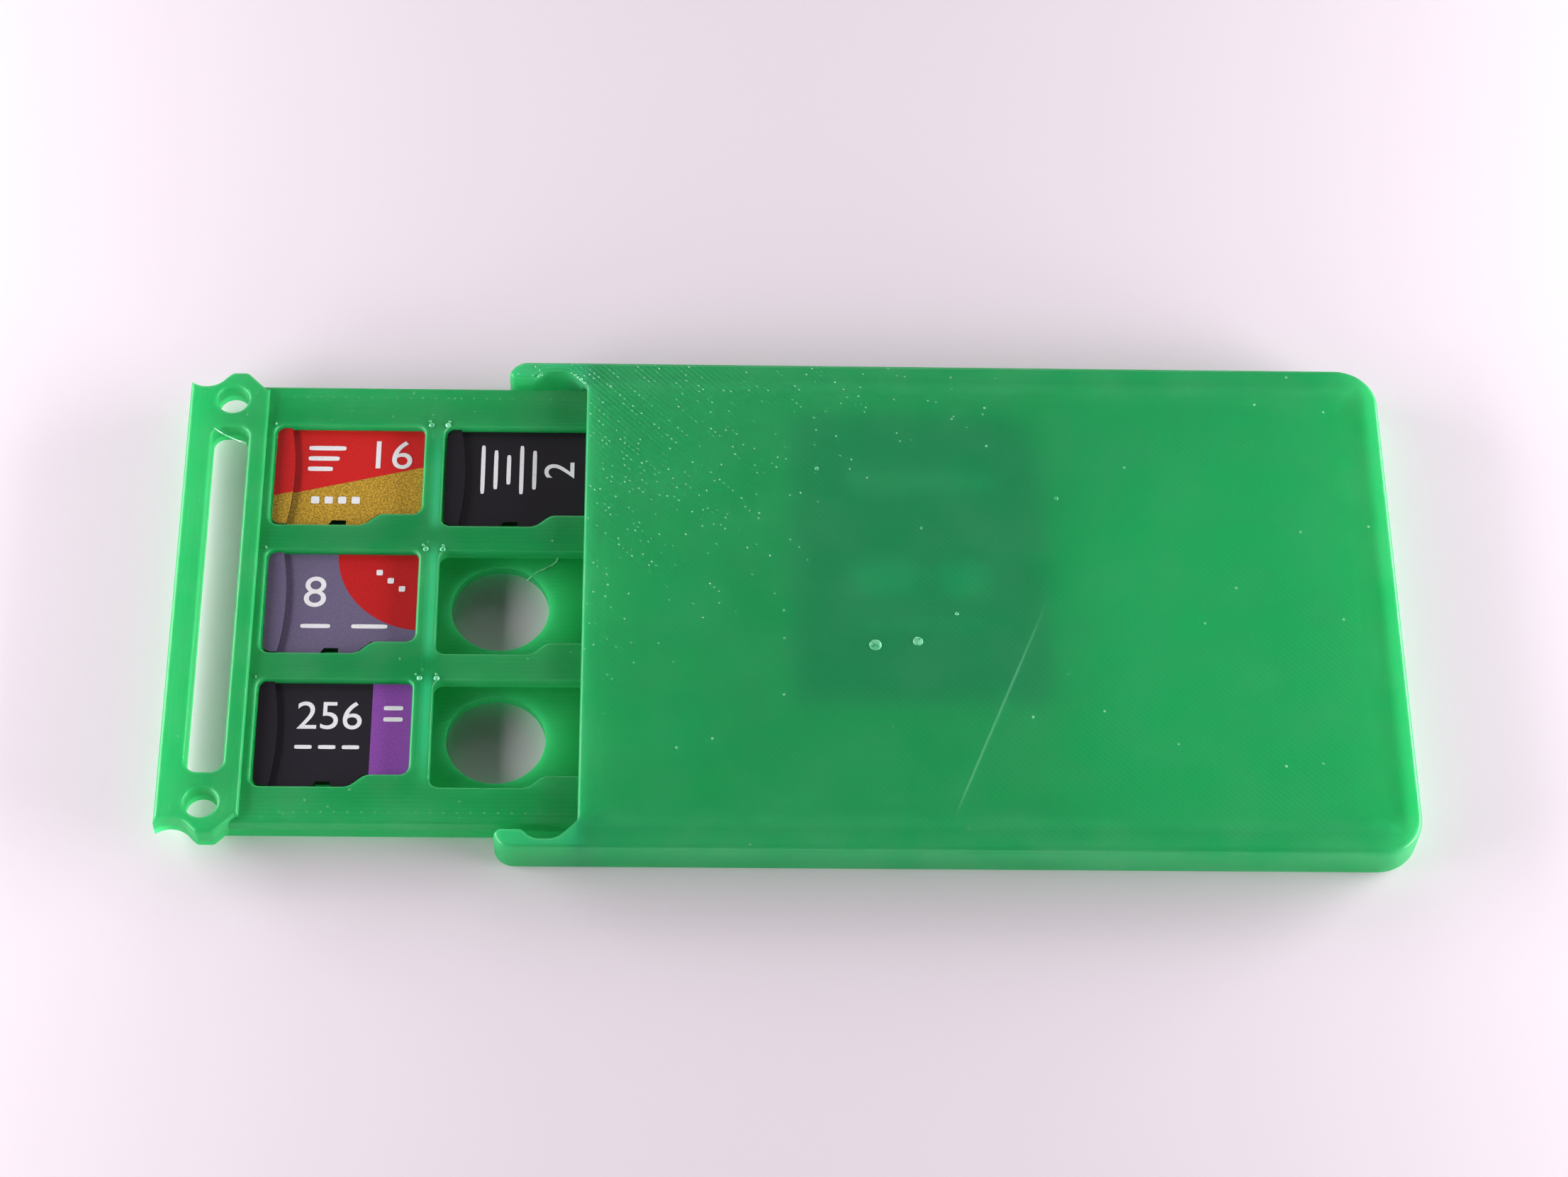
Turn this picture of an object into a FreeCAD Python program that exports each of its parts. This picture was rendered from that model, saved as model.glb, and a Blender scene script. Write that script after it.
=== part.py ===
"""Printed card-sized case for memory cards: a sleeve, a sliding tray, and the cards that lie in the tray.

Millimetres, +Z up. +X runs along the slide towards the closed end of the sleeve, and +Y towards its rear side.
The origin is the middle of the sleeve's underside. The tray stands drawn out, as it does when a card is taken.
"""
import FreeCAD, Part
import math
import os
from FreeCAD import Vector

# Small memory card, measured from its back end, where the pull ridge is
card_length = 15.0
card_width = 11.0
card_body_thickness = 0.7
card_ridge_height = 0.3
card_ridge_width = 1.4
card_ridge_radius = 30.0
card_corner_radius = 0.8
card_narrow_length = 4.9
card_step_depth = 1.3
card_step_run = 1.5
card_notch_gap = 1.5
card_notch_length = 1.75
card_notch_depth = 0.6
card_notch_slant = 0.4

# Contact pads on the small card's underside
pad_count = 8
pad_width = 0.8
pad_side_margin = 0.6
pad_length = 2.9
pad_inset = 1.1
pad_thickness = 0.05

# Card adapter in the large pocket
adapter_width = 24.0
adapter_length = 32.0
adapter_lower_thickness = 0.85
adapter_upper_thickness = 1.25
adapter_corner_radius = 1.0
adapter_cut_corner = 4.0
adapter_slot_width = 11.4
adapter_slot_length = 15.8
adapter_slot_floor = 0.45
adapter_slot_roof = 0.6

# Terminals of the adapter, from the outer pads to the tips that reach into its slot
terminal_count = 8
terminal_thickness = 0.15
terminal_pad_width = 1.6
terminal_side_margin = 2.45
terminal_pad_length = 4.3
terminal_pad_inset = 1.7
terminal_taper_length = 6.7
terminal_beam_width = 0.6
terminal_tip_reach = 2.5
terminal_window_margin = 0.15

# Write-lock slider of the adapter
lock_length = 3.4
lock_depth = 1.0
lock_height = 1.2
lock_travel = 3.3
lock_inset = 6.5
lock_play = 0.1
lock_rib_count = 3
lock_rib_width = 0.3
lock_rib_depth = 0.25

# Tray, its rows of pockets and the ribs between them
column_count = 3
row_count = 3
pocket_play = 0.2
pocket_depth = 1.4
pocket_corner_radius = 0.9
pocket_step_radius = 1.5
column_rib = 1.04
row_rib = 2.88
bar_rib = 0.8
far_rail = 4.5
near_rail = 4.0
lip_reach = 0.9
lip_play = 0.15
push_hole_radius = 4.66
push_hole_inset = 5.73
adapter_play = 0.1
adapter_floor = 0.4
adapter_rib = 2.0
adapter_far_rail = 3.46
adapter_push_hole_radius = 7.0
tail_wall = 1.1
tail_corner_radius = 1.5
rim_round = 0.35

# End bar of the tray, lifted so that a nail gets under it, with its lugs, notches, ring holes and lanyard slot
bar_width = 7.7
bar_height = 2.5
bar_lift = 0.6
bar_edge_round = 0.45
lug_height = 1.27
lug_length = 1.53
lug_inset = 2.2
lug_corner_radius = 0.6
throat_inset = 0.63
notch_inset = 5.8
notch_depth = 0.26
notch_shoulder_inset = 4.35
notch_shoulder_height = 0.67
tip_height = 0.22
ring_hole_radius = 1.5
ring_hole_inset = 1.93
ring_wall = 1.7
slot_width = 3.5
slot_inset = 3.5
slot_corner_radius = 1.2

# Sleeve
side_play = 0.25
floor_play = 0.1
roof_play = 0.2
end_play = 0.42
floor_thickness = 0.7
roof_thickness = 0.7
side_wall = 2.52
end_wall = 1.1
corner_radius = 4.0
edge_round = 0.6

# Latch arms at the mouth of the sleeve
arm_wall = 1.1
arm_land = 0.1
arm_corner_radius = 1.9
arm_mouth_inset = 3.0
arm_mouth_radius = 0.9
arm_pocket_length = 2.25
arm_pocket_radius = 2.0
nose_clearance = 0.72
nose_chamfer = 0.5
nose_corner_radius = 0.6

# How the tray stands, and how far cuts run past the faces they open
shown_column_count = 2
roof_cover = 1.64
overrun = 1.0
same_point = 0.0001

# Sizes that follow from the ones above
pad_pitch = (card_width - card_step_depth - 2 * pad_side_margin - pad_width) / (pad_count - 1)
terminal_pad_pitch = (adapter_width - 2 * terminal_side_margin - terminal_pad_width) / (terminal_count - 1)
adapter_thickness = adapter_lower_thickness + adapter_upper_thickness
pocket_length = card_length + 2 * pocket_play
pocket_width = card_width + 2 * pocket_play
column_pitch = pocket_length + column_rib
row_pitch = pocket_width + row_rib
adapter_pocket_width = adapter_width + 2 * adapter_play
adapter_pocket_length = adapter_length + 2 * adapter_play
columns_length = column_count * column_pitch - column_rib
adapter_start = bar_rib + columns_length + adapter_rib
tray_length = adapter_start + adapter_pocket_width + tail_wall
tray_width = far_rail + row_count * row_pitch - row_rib + near_rail
tray_thickness = adapter_floor + adapter_thickness
cavity_width = tray_width + 2 * side_play
cavity_length = tray_length + end_play
cavity_height = floor_play + tray_thickness + roof_play
sleeve_width = cavity_width + 2 * side_wall
sleeve_length = cavity_length + end_wall
case_thickness = floor_thickness + cavity_height + roof_thickness
arm_reach = bar_width
mouth_round = arm_wall - edge_round - arm_land
ring_hole_span = tray_width - 2 * ring_hole_inset
slot_length = ring_hole_span - 2 * (ring_hole_radius + ring_wall)
drawn_out = bar_rib + shown_column_count * column_pitch - column_rib - roof_cover

# Places that follow from the sizes
mouth = -sleeve_length / 2
tray_start = mouth - drawn_out
tray_bottom = floor_thickness + floor_play
tray_top = tray_bottom + tray_thickness
bar_bottom = tray_bottom + bar_lift
bar_top = bar_bottom + bar_height
pocket_floor = tray_top - pocket_depth
adapter_bottom = tray_bottom + adapter_floor
adapter_parting = adapter_bottom + adapter_lower_thickness
adapter_top = adapter_parting + adapter_upper_thickness
tray_half = tray_width / 2
sleeve_half = sleeve_width / 2


def outline(corners):
    """Closed wire through corners (x, y, radius), each rounded by an arc tangent to its two sides."""
    count = len(corners)
    trimmed = []
    for index in range(count):
        x, y, radius = corners[index]
        before = corners[index - 1]
        after = corners[(index + 1) % count]
        here = Vector(x, y, 0)
        to_before = Vector(before[0] - x, before[1] - y, 0).normalize()
        to_after = Vector(after[0] - x, after[1] - y, 0).normalize()
        if radius == 0:
            trimmed.append((here, here, here))
            continue
        half_turn = to_before.getAngle(to_after) / 2
        tangent = radius / math.tan(half_turn)
        to_middle = (to_before + to_after).normalize()
        middle = here + to_middle * (radius / math.sin(half_turn) - radius)
        trimmed.append((here + to_before * tangent, middle, here + to_after * tangent))
    edges = []
    for index in range(count):
        start, middle, end = trimmed[index]
        next_start = trimmed[(index + 1) % count][0]
        if start != end:
            edges.append(Part.Arc(start, middle, end).toShape())
        if end.distanceToPoint(next_start) > same_point:
            edges.append(Part.LineSegment(end, next_start).toShape())
    return Part.Wire(edges)


def plate(wire, bottom, top):
    """Flat solid between two heights, from a closed wire drawn at height zero."""
    solid = Part.Face(wire).extrude(Vector(0, 0, top - bottom))
    solid.translate(Vector(0, 0, bottom))
    return solid


def block(x_low, x_high, y_low, y_high, bottom, top, radius=0):
    """Upright block, with its four upright edges rounded if a radius is given."""
    corners = [(x_low, y_low, radius), (x_high, y_low, radius), (x_high, y_high, radius), (x_low, y_high, radius)]
    return plate(outline(corners), bottom, top)


def post(radius, x, y, bottom, top):
    """Upright cylinder."""
    return Part.makeCylinder(radius, top - bottom, Vector(x, y, bottom))


def edges_at_height(solid, height):
    """Edges of a solid that lie flat at one height."""
    found = []
    for edge in solid.Edges:
        box = edge.BoundBox
        if abs(box.ZMin - height) < same_point and abs(box.ZMax - height) < same_point:
            found.append(edge)
    return found


def edges_within(edges, x_low, x_high, y_reach):
    """Those edges that lie wholly between two x places and within a reach on both sides of the middle."""
    found = []
    for edge in edges:
        box = edge.BoundBox
        if box.XMin > x_low and box.XMax < x_high and max(-box.YMin, box.YMax) < y_reach:
            found.append(edge)
    return found


def upright_edges_at(solid, points):
    """Upright edges of a solid that stand on the given points of its plan."""
    found = []
    for edge in solid.Edges:
        foot = edge.Vertexes[0].Point
        if edge.BoundBox.XLength > same_point or edge.BoundBox.YLength > same_point:
            continue
        if any(math.hypot(foot.x - point.x, foot.y - point.y) < same_point for point in points):
            found.append(edge)
    return found


def mirrored(points):
    """The same corners on the front side, in the order that carries on round the outline."""
    return [(x, -y, radius) for x, y, radius in reversed(points)]


def card_place(column, row):
    """Back end and near side of the small card in one pocket of the tray."""
    x = tray_start + bar_rib + pocket_play + column * column_pitch
    y = tray_half - far_rail - pocket_play - card_width - row * row_pitch
    return x, y


def case_body():
    """Sleeve and both latch arms in one piece, as they are printed, with rounded outer edges."""
    left = mouth - arm_reach
    right = mouth + sleeve_length
    body = plate(outline([
        (left, -sleeve_half, arm_corner_radius),
        (right, -sleeve_half, corner_radius),
        (right, sleeve_half, corner_radius),
        (left, sleeve_half, arm_corner_radius),
    ]), 0, case_thickness)
    rims = edges_at_height(body, 0) + edges_at_height(body, case_thickness)
    body = body.makeFillet(edge_round, rims)

    # Bay between the arms: a sloped pocket for the lug behind each nose
    pocket_side = sleeve_half - arm_wall
    mouth_side = sleeve_half - arm_mouth_inset
    nose_side = tray_half + nose_clearance
    slope = pocket_side - mouth_side
    nose_root = mouth - slope - arm_pocket_length - (pocket_side - nose_side)
    rear_side = [
        (mouth, mouth_side, arm_mouth_radius),
        (mouth - slope, pocket_side, arm_pocket_radius),
        (mouth - slope - arm_pocket_length, pocket_side, arm_pocket_radius),
        (nose_root, nose_side, nose_corner_radius),
        (left + nose_chamfer, nose_side, nose_corner_radius),
        (left, nose_side + nose_chamfer, 0),
        (left - overrun, nose_side + nose_chamfer, 0),
    ]
    body = body.cut(plate(outline(rear_side + mirrored(rear_side)), -overrun, case_thickness + overrun))
    top_edges = edges_at_height(body, case_thickness)
    body = body.makeFillet(mouth_round, edges_within(top_edges, left + nose_chamfer - same_point, mouth + same_point,
                                                     pocket_side + same_point))

    # Flat cavity that the tray runs in, open at the mouth
    cavity = block(left - overrun, mouth + cavity_length, -cavity_width / 2, cavity_width / 2,
                   floor_thickness, floor_thickness + cavity_height)
    return body.cut(cavity)


def half_space(x_low, x_high, y_low, y_high):
    """Upright slab that takes one part out of the printed case body."""
    return block(x_low, x_high, y_low, y_high, -overrun, case_thickness + overrun)


def bar_openings(top):
    """Lanyard slot and the ring hole at each end of it, as solids that reach from below the tray to a height."""
    slot_x = tray_start - slot_inset
    bottom = tray_bottom - overrun
    slot = block(slot_x - slot_width / 2, slot_x + slot_width / 2, -slot_length / 2, slot_length / 2,
                 bottom, top, slot_corner_radius)
    return [slot] + [post(ring_hole_radius, slot_x, side * ring_hole_span / 2, bottom, top) for side in (1, -1)]


def tray_bar():
    """End bar: a lug, a hollow for the nose and a tip at each end, with ring holes and a lanyard slot."""
    def at(inset, height):
        return Vector(tray_start - inset, tray_half + height, 0)

    def mirror(point):
        return Vector(point.x, -point.y, 0)

    lug_end = lug_inset + lug_length
    throat = at(0, -throat_inset)
    foot = at(lug_inset - lug_height - throat_inset, -throat_inset)
    lug_low = at(lug_inset, lug_height)
    lug_high = at(lug_end, lug_height)
    shoulder = at(notch_shoulder_inset, notch_shoulder_height)
    hollow = at(notch_inset, -notch_depth)
    tip = at(bar_width, tip_height)
    edges = []
    for side in (lambda point: point, mirror):
        edges.append(Part.LineSegment(side(throat), side(foot)).toShape())
        edges.append(Part.LineSegment(side(foot), side(lug_low)).toShape())
        edges.append(Part.LineSegment(side(lug_low), side(lug_high)).toShape())
        edges.append(Part.LineSegment(side(lug_high), side(shoulder)).toShape())
        edges.append(Part.Arc(side(shoulder), side(hollow), side(tip)).toShape())
    edges.append(Part.LineSegment(tip, mirror(tip)).toShape())
    edges.append(Part.LineSegment(throat, mirror(throat)).toShape())
    bar = plate(Part.Wire(Part.sortEdges(edges)[0]), bar_bottom, bar_top)
    lug_corners = [lug_low, lug_high, mirror(lug_low), mirror(lug_high)]
    bar = bar.makeFillet(lug_corner_radius, upright_edges_at(bar, lug_corners))

    bar = bar.cut(bar_openings(bar_top + overrun))
    return bar.makeFillet(bar_edge_round, edges_at_height(bar, bar_top))


def card_pocket(column, row):
    """Hollow for one small card: a low part, a shorter opening under the lip, and a push hole."""
    card_x, card_y = card_place(column, row)
    x_low = card_x - pocket_play
    x_high = x_low + pocket_length
    y_low = card_y - pocket_play
    y_high = y_low + pocket_width
    step_end = card_x + card_length - card_narrow_length + pocket_play
    lip_bottom = pocket_floor + card_body_thickness + lip_play

    def hollow(x_end, bottom, top):
        return plate(outline([
            (x_low, y_low, pocket_corner_radius),
            (step_end - card_step_run, y_low, pocket_step_radius),
            (step_end, y_low + card_step_depth, pocket_step_radius),
            (x_end, y_low + card_step_depth, pocket_corner_radius),
            (x_end, y_high, pocket_corner_radius),
            (x_low, y_high, pocket_corner_radius),
        ]), bottom, top)

    push_hole = post(push_hole_radius, card_x + push_hole_inset, card_y + card_width / 2,
                     tray_bottom - overrun, tray_top)
    return [hollow(x_high, pocket_floor, lip_bottom), hollow(x_high - lip_reach, lip_bottom, tray_top), push_hole]


def adapter_place():
    """Left side and slot end of the adapter in the large pocket."""
    x = tray_start + adapter_start + adapter_play
    y = tray_half - adapter_far_rail - adapter_play - adapter_length
    return x, y


def make_tray():
    """Flat tray with its end bar, three by three small pockets and the large pocket for the adapter."""
    x_end = tray_start + tray_length
    body = plate(outline([
        (tray_start - lug_inset, -tray_half, 0),
        (x_end, -tray_half, tail_corner_radius),
        (x_end, tray_half, tail_corner_radius),
        (tray_start - lug_inset, tray_half, 0),
    ]), tray_bottom, tray_top)
    body = body.makeFillet(rim_round, edges_at_height(body, tray_top))
    body = body.cut(bar_openings(tray_top + overrun)).fuse(tray_bar())

    cuts = []
    for column in range(column_count):
        for row in range(row_count):
            cuts += card_pocket(column, row)
    adapter_x, adapter_y = adapter_place()
    cuts.append(block(adapter_x - adapter_play, adapter_x - adapter_play + adapter_pocket_width,
                      adapter_y - adapter_play, adapter_y - adapter_play + adapter_pocket_length,
                      adapter_bottom, tray_top, pocket_corner_radius))
    cuts.append(post(adapter_push_hole_radius, adapter_x + adapter_width / 2, adapter_y + adapter_length / 2,
                     tray_bottom - overrun, tray_top))
    body = body.cut(cuts).removeSplitter()
    rims = edges_within(edges_at_height(body, tray_top), tray_start, x_end - rim_round - same_point,
                        tray_half - rim_round - same_point)
    return body.makeFillet(rim_round, rims)


def card_outline(x, y):
    """Outline of a small card: full width at the back, a side notch, and a step to its narrow end."""
    step_end = x + card_length - card_narrow_length
    notch_end = step_end - card_step_run - card_notch_gap
    notch_start = notch_end - card_notch_length
    return outline([
        (x, y, card_corner_radius),
        (notch_start, y, 0),
        (notch_start + card_notch_slant, y + card_notch_depth, 0),
        (notch_end, y + card_notch_depth, 0),
        (notch_end, y, 0),
        (step_end - card_step_run, y, 0),
        (step_end, y + card_step_depth, 0),
        (x + card_length, y + card_step_depth, card_corner_radius),
        (x + card_length, y + card_width, card_corner_radius),
        (x, y + card_width, card_corner_radius),
    ])


def make_card(column, row):
    """Small card with its curved pull ridge, and the pads set flush into its underside."""
    x, y = card_place(column, row)
    ridge_top = pocket_floor + card_body_thickness + card_ridge_height
    body = plate(card_outline(x, y), pocket_floor, ridge_top)

    # The ridge's front edge is an arc across the card; everything ahead of it is cut down to the body
    sag = card_ridge_radius - math.sqrt(card_ridge_radius ** 2 - (card_width / 2) ** 2)
    near = Vector(x + card_ridge_width, y, 0)
    middle = Vector(x + card_ridge_width + sag, y + card_width / 2, 0)
    far = Vector(x + card_ridge_width, y + card_width, 0)
    ahead_near = Vector(x + card_length + overrun, y, 0)
    ahead_far = Vector(x + card_length + overrun, y + card_width, 0)
    ahead = Part.Wire([
        Part.Arc(near, middle, far).toShape(),
        Part.LineSegment(far, ahead_far).toShape(),
        Part.LineSegment(ahead_far, ahead_near).toShape(),
        Part.LineSegment(ahead_near, near).toShape(),
    ])
    body = body.cut(plate(ahead, pocket_floor + card_body_thickness, ridge_top + overrun))

    pads = []
    first = y + card_step_depth + (card_width - card_step_depth - (pad_count - 1) * pad_pitch) / 2
    pad_end = x + card_length - pad_inset
    for index in range(pad_count):
        middle_y = first + index * pad_pitch
        pads.append(block(pad_end - pad_length, pad_end, middle_y - pad_width / 2, middle_y + pad_width / 2,
                          pocket_floor, pocket_floor + pad_thickness))
    contacts = Part.makeCompound(pads)
    return body.cut(pads), contacts


def adapter_plate(bottom, top):
    """Full outline of the adapter between two heights, with its cut corner."""
    x, y = adapter_place()
    x_end = x + adapter_width
    y_end = y + adapter_length
    return plate(outline([
        (x, y, adapter_corner_radius),
        (x_end, y, adapter_corner_radius),
        (x_end, y_end - adapter_cut_corner, adapter_corner_radius),
        (x_end - adapter_cut_corner, y_end, adapter_corner_radius),
        (x, y_end, adapter_corner_radius),
    ]), bottom, top)


def adapter_terminals():
    """Stamped terminals, each a broad outer pad, a tapering lead and a beam that reaches into the slot."""
    x, y = adapter_place()
    pad_start = y + adapter_length - terminal_pad_inset
    pad_end = pad_start - terminal_pad_length
    beam_start = pad_end - terminal_taper_length
    tip = y + adapter_slot_length - terminal_tip_reach
    leads = []
    windows = []
    for index in range(terminal_count):
        place = index - (terminal_count - 1) / 2
        pad_x = x + adapter_width / 2 + place * terminal_pad_pitch
        beam_x = x + adapter_width / 2 + place * pad_pitch
        pad_half = terminal_pad_width / 2
        beam_half = terminal_beam_width / 2
        wire = outline([
            (pad_x - pad_half, pad_start, 0),
            (pad_x - pad_half, pad_end, 0),
            (beam_x - beam_half, beam_start, 0),
            (beam_x - beam_half, tip, 0),
            (beam_x + beam_half, tip, 0),
            (beam_x + beam_half, beam_start, 0),
            (pad_x + pad_half, pad_end, 0),
            (pad_x + pad_half, pad_start, 0),
        ])
        leads.append(plate(wire, adapter_parting - terminal_thickness, adapter_parting))
        margin = terminal_window_margin
        windows.append(block(pad_x - pad_half + margin, pad_x + pad_half - margin, pad_end + margin,
                             pad_start - margin, adapter_bottom - overrun, adapter_parting))
    return leads, windows


def make_adapter():
    """Adapter as it is welded together: two shells, the terminals between them and the lock slider."""
    x, y = adapter_place()
    leads, windows = adapter_terminals()
    slot_low = x + (adapter_width - adapter_slot_width) / 2
    slot = block(slot_low, slot_low + adapter_slot_width, y - overrun, y + adapter_slot_length,
                 adapter_bottom + adapter_slot_floor, adapter_top - adapter_slot_roof)

    lock_middle = (adapter_bottom + adapter_top) / 2
    lock_start = y + adapter_length - lock_inset
    lock_room = lock_length + lock_travel + 2 * lock_play
    recess = block(x - overrun, x + lock_depth + lock_play, lock_start - lock_room, lock_start,
                   lock_middle - lock_height / 2 - lock_play, lock_middle + lock_height / 2 + lock_play)
    slider_end = lock_start - lock_play
    slider = block(x, x + lock_depth, slider_end - lock_length, slider_end,
                   lock_middle - lock_height / 2, lock_middle + lock_height / 2)
    rib_gap = lock_length / (lock_rib_count + 1)
    for index in range(lock_rib_count):
        groove_y = slider_end - rib_gap * (index + 1)
        slider = slider.cut(block(x - overrun, x + lock_rib_depth, groove_y - lock_rib_width / 2,
                                  groove_y + lock_rib_width / 2, adapter_bottom, adapter_top))

    lower = adapter_plate(adapter_bottom, adapter_parting).cut([slot, recess] + leads + windows)
    upper = adapter_plate(adapter_parting, adapter_top).cut([slot, recess])
    return lower, upper, slider, Part.makeCompound(leads)


def export(name, shape):
    """Writes one piece and prints what it holds."""
    shape.exportStep("parts/" + name + ".step")
    solids = shape.Solids
    print(name, "solids", len(solids), "volume", round(sum(solid.Volume for solid in solids), 2),
          "valid", shape.isValid())


os.makedirs("parts", exist_ok=True)

case = case_body()
arm_left = mouth - arm_reach - overrun
export("sleeve", case.common(half_space(mouth, mouth + sleeve_length + overrun, -sleeve_width, sleeve_width)))
export("latch_arm_rear", case.common(half_space(arm_left, mouth, 0, sleeve_width)))
export("latch_arm_front", case.common(half_space(arm_left, mouth, -sleeve_width, 0)))
export("tray", make_tray())

# The cards that the tray holds: letter, column, row
for letter, column, row in (("a", 0, 0), ("b", 0, 1), ("c", 0, 2), ("d", 1, 0)):
    card_body, card_contacts = make_card(column, row)
    export("card_" + letter + "_body", card_body)
    export("card_" + letter + "_contacts", card_contacts)

lower_shell, upper_shell, lock_slider, terminals = make_adapter()
export("adapter_lower_shell", lower_shell)
export("adapter_upper_shell", upper_shell)
export("adapter_lock_slider", lock_slider)
export("adapter_terminals", terminals)

print("closed length", round(sleeve_length + arm_reach, 2), "width", round(sleeve_width, 2),
      "thickness", round(case_thickness, 2), "tray length", round(tray_length, 2))
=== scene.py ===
# %% [markdown]
# # A printed case for memory cards
# The case is a flat sleeve with a tray that slides in it, both printed in green plastic, one bead at a time.
# The tray carries small moulded cards. Every solid comes measured from the frame, so this lesson gives the
# pieces their finishes, prints the card faces, cuts the two latch arms into slices and adds the stray hairs
# that a printer leaves behind.

# %% Load the measured frame
import math

import bmesh
import bpy
import numpy as np
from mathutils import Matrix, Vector


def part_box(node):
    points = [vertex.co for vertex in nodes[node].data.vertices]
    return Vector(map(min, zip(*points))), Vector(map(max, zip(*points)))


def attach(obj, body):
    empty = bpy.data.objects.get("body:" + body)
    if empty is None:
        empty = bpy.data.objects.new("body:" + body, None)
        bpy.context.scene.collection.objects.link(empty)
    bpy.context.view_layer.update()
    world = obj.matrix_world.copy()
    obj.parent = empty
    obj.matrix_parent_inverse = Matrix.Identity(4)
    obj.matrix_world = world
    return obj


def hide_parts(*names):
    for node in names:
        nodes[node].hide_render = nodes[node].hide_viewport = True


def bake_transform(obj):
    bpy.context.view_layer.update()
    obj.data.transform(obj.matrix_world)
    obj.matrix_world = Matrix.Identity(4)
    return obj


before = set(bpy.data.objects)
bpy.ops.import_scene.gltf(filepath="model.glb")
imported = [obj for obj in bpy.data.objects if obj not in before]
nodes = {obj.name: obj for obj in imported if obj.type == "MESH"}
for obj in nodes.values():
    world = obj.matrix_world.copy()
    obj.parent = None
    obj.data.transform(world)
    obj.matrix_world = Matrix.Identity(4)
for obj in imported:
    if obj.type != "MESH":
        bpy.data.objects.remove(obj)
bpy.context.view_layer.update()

MM = 0.001
scene = bpy.context.scene


def box_mm(name):
    """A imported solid's lowest and highest corners, in millimetres."""
    return [np.array(corner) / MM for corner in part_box(name)]


sleeve_low, sleeve_high = box_mm("sleeve")
tray_low, tray_high = box_mm("tray")
print("nodes", len(nodes))
print("sleeve", (sleeve_high - sleeve_low).round(2), "mm, tray", (tray_high - tray_low).round(2), "mm")

# %% [markdown]
# ## Camera
# A camera could be aimed by eye, but the view that this part follows was solved as a pinhole: a focal
# length in pixels, a place and three turns. A focal length in pixels becomes a lens in millimetres
# through the sensor's width.

# %% Camera
PICTURE_WIDTH_PX = 2212
FOCAL_PX = 5316.9
SENSOR_WIDTH_MM = 36.0
CAMERA_PLACE_MM = np.array((-30.93, -186.36, 309.37))
CAMERA_PITCH, CAMERA_ROLL, CAMERA_TURN = 0.5501, -0.0367, 0.0109

camera_data = bpy.data.cameras.new("camera")
camera_data.sensor_fit = "HORIZONTAL"
camera_data.sensor_width = SENSOR_WIDTH_MM
camera_data.lens = FOCAL_PX * SENSOR_WIDTH_MM / PICTURE_WIDTH_PX
camera = bpy.data.objects.new("camera", camera_data)
camera.rotation_mode = "YXZ"
camera.rotation_euler = (CAMERA_PITCH, CAMERA_ROLL, CAMERA_TURN)
camera.location = CAMERA_PLACE_MM * MM
scene.collection.objects.link(camera)
scene.camera = camera
scene.view_settings.view_transform = "Standard"
print("lens", round(camera_data.lens, 2), "mm")

# %% [markdown]
# ## Helpers for every finish
# Colours are written as the hex values a paint chart would give. Blender adds up light, not paint codes,
# so one function turns a hex value into linear light. A second function adds any node with its settings
# and its links. Patterns are laid out on the object's own coordinates, turned into millimetres, so that
# sizes read as real sizes.


# %% Colour and node helpers
def linear(hex_code):
    """sRGB hex to linear light: each channel over 12.92 near black, else a 2.4 power curve. Alpha is 1."""
    channels = np.array([int(hex_code[i:i + 2], 16) for i in (1, 3, 5)]) / 255.0
    light = np.where(channels <= 0.04045, channels / 12.92, ((channels + 0.055) / 1.055) ** 2.4)
    return (*light.tolist(), 1.0)


def add(finish, kind, inputs=(), **settings):
    """Adds one node and gives back its outputs. Inputs fill its sockets, in order or by name, each with a
    value or another node's output. Settings are the node's own properties."""
    node = finish.node_tree.nodes.new("ShaderNode" + kind)
    for name, value in settings.items():
        setattr(node, name, value)
    for socket, value in inputs.items() if isinstance(inputs, dict) else enumerate(inputs):
        if isinstance(value, bpy.types.NodeSocket):
            finish.node_tree.links.new(value, node.inputs[socket])
        else:
            node.inputs[socket].default_value = value
    return node.outputs


def start_finish(name):
    """An empty material, and the object's own coordinates in millimetres to lay its patterns on."""
    finish = bpy.data.materials.new(name)
    finish.use_nodes = True
    finish.node_tree.nodes.clear()
    metres = add(finish, "TexCoord")["Object"]
    return finish, add(finish, "VectorMath", (metres, (1 / MM,) * 3), operation="MULTIPLY")[0]


def wear(finish, *names):
    """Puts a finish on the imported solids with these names."""
    for name in names:
        for slot in nodes[name].material_slots:
            slot.material = finish
    print(finish.name, "on", ", ".join(names), "with", len(finish.node_tree.nodes), "nodes")


print("half white in linear light", round(linear("#808080")[0], 3))

# %% [markdown]
# ## Printed green plastic
# Filament plastic is laid as beads about 0.45 mm wide. The plastic is cloudy: some light goes straight
# through a thin wall and comes out the other side, so edges glow, and a dark thing under the roof shows
# as a soft shade. Painting that shade would be wrong as soon as the tray moves. Blender's subsurface
# scattering leaves a closed case dark inside. A translucent share in the shader carries light through
# each wall as often as it likes, so the shade under the roof is real and slides along with the tray. The
# share is larger where a wall is thin, so that comes first.

# %% Where the plastic is thin
WALL_MM, WALL_FADE_MM = 2.0, 2.0
POCKET_FLOOR_MM, POCKET_FADE_MM = 1.95, 0.45


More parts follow.
